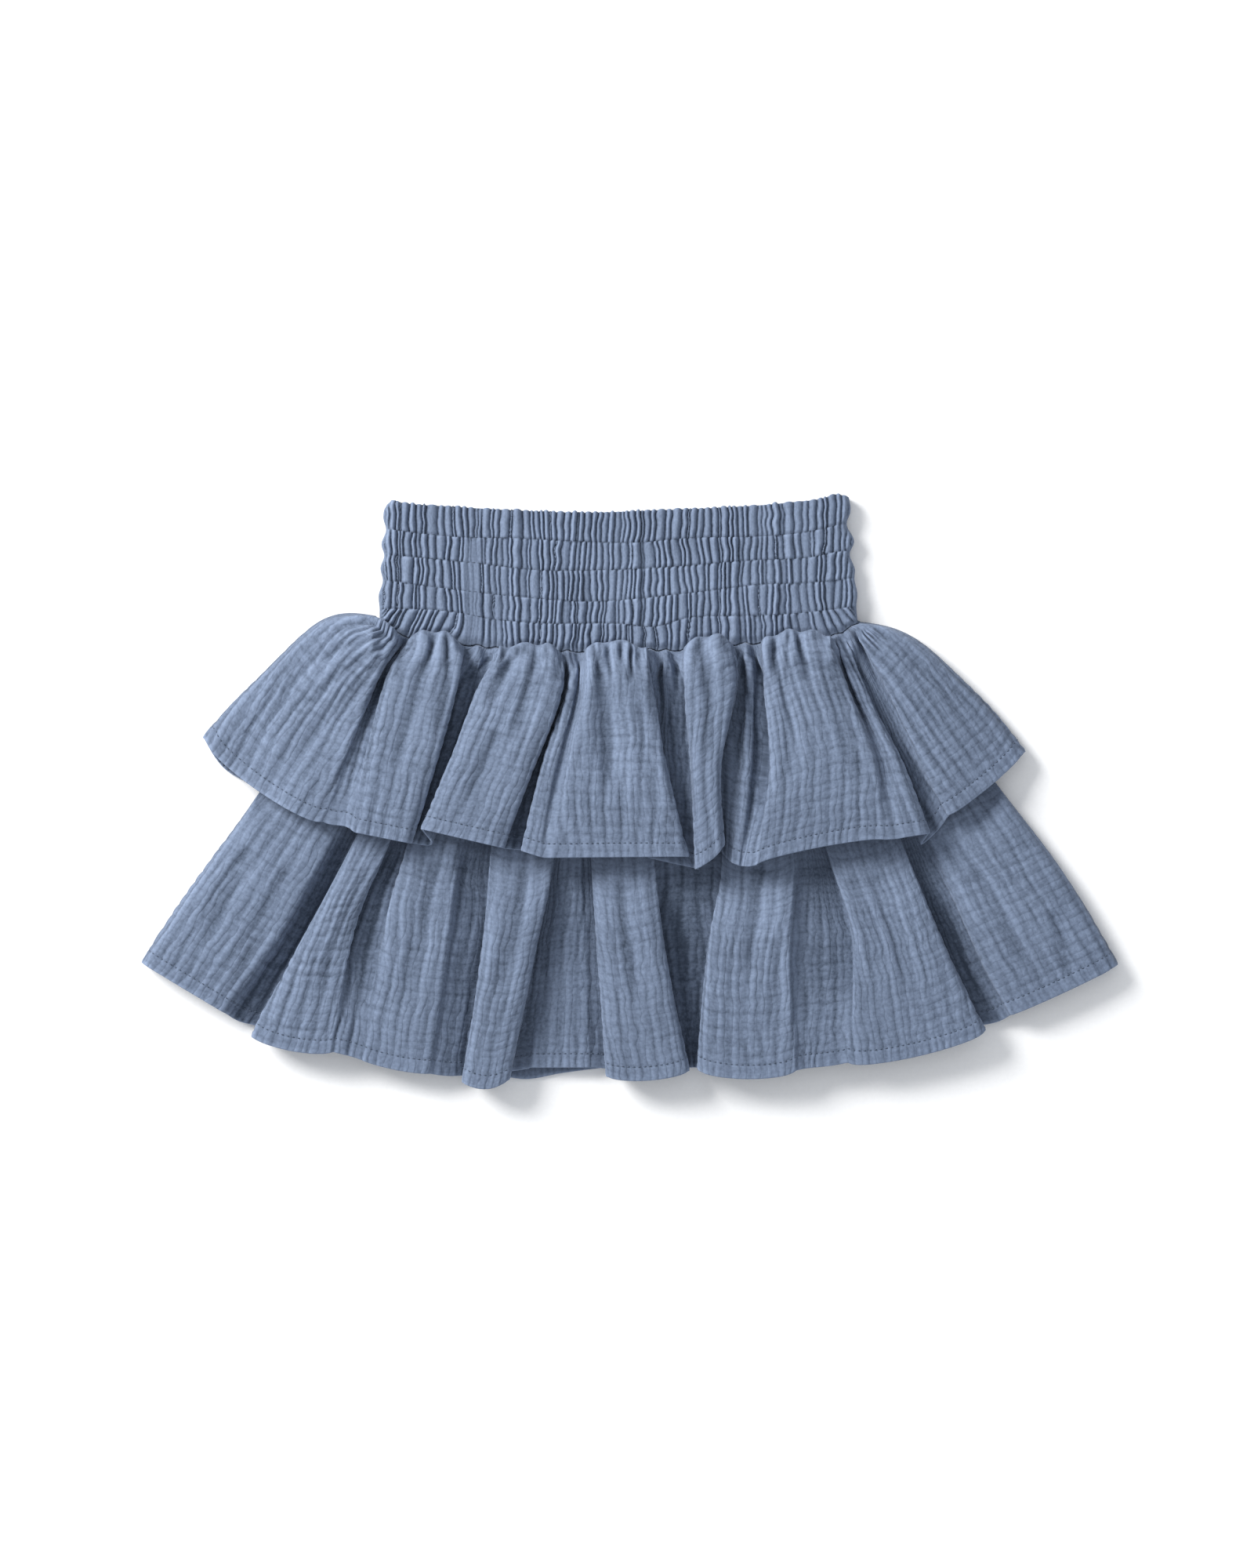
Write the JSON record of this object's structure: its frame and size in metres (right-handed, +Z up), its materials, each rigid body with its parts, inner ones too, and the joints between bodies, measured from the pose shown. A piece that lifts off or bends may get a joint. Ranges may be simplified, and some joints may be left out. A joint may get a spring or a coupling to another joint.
{
  "type": "tiered skirt",
  "caption": "Child's pull-on skirt laid flat: wide shirred waistband, short gathered ruffle over a longer gathered tier, in crinkled double gauze.",
  "frame": {"origin": "middle of the footprint, on the surface that the skirt lies on", "axes": "+X to the wearer's left across the front, +Y from hem to waist, +Z up out of the front"},
  "size_m": [0.423, 0.257, 0.0202],
  "materials": {
    "double_gauze": "matt crinkled cotton double gauze, slate blue",
    "shirred_gauze": "matt cotton double gauze drawn up on rows of elastic thread, slate blue"
  },
  "bodies": {
    "root": {"waistband_front": "shirred_gauze", "waistband_back": "shirred_gauze", "upper_ruffle_front": "double_gauze", "upper_ruffle_back": "double_gauze", "lower_tier_front": "double_gauze", "lower_tier_back": "double_gauze"}
  },
  "joints": []
}
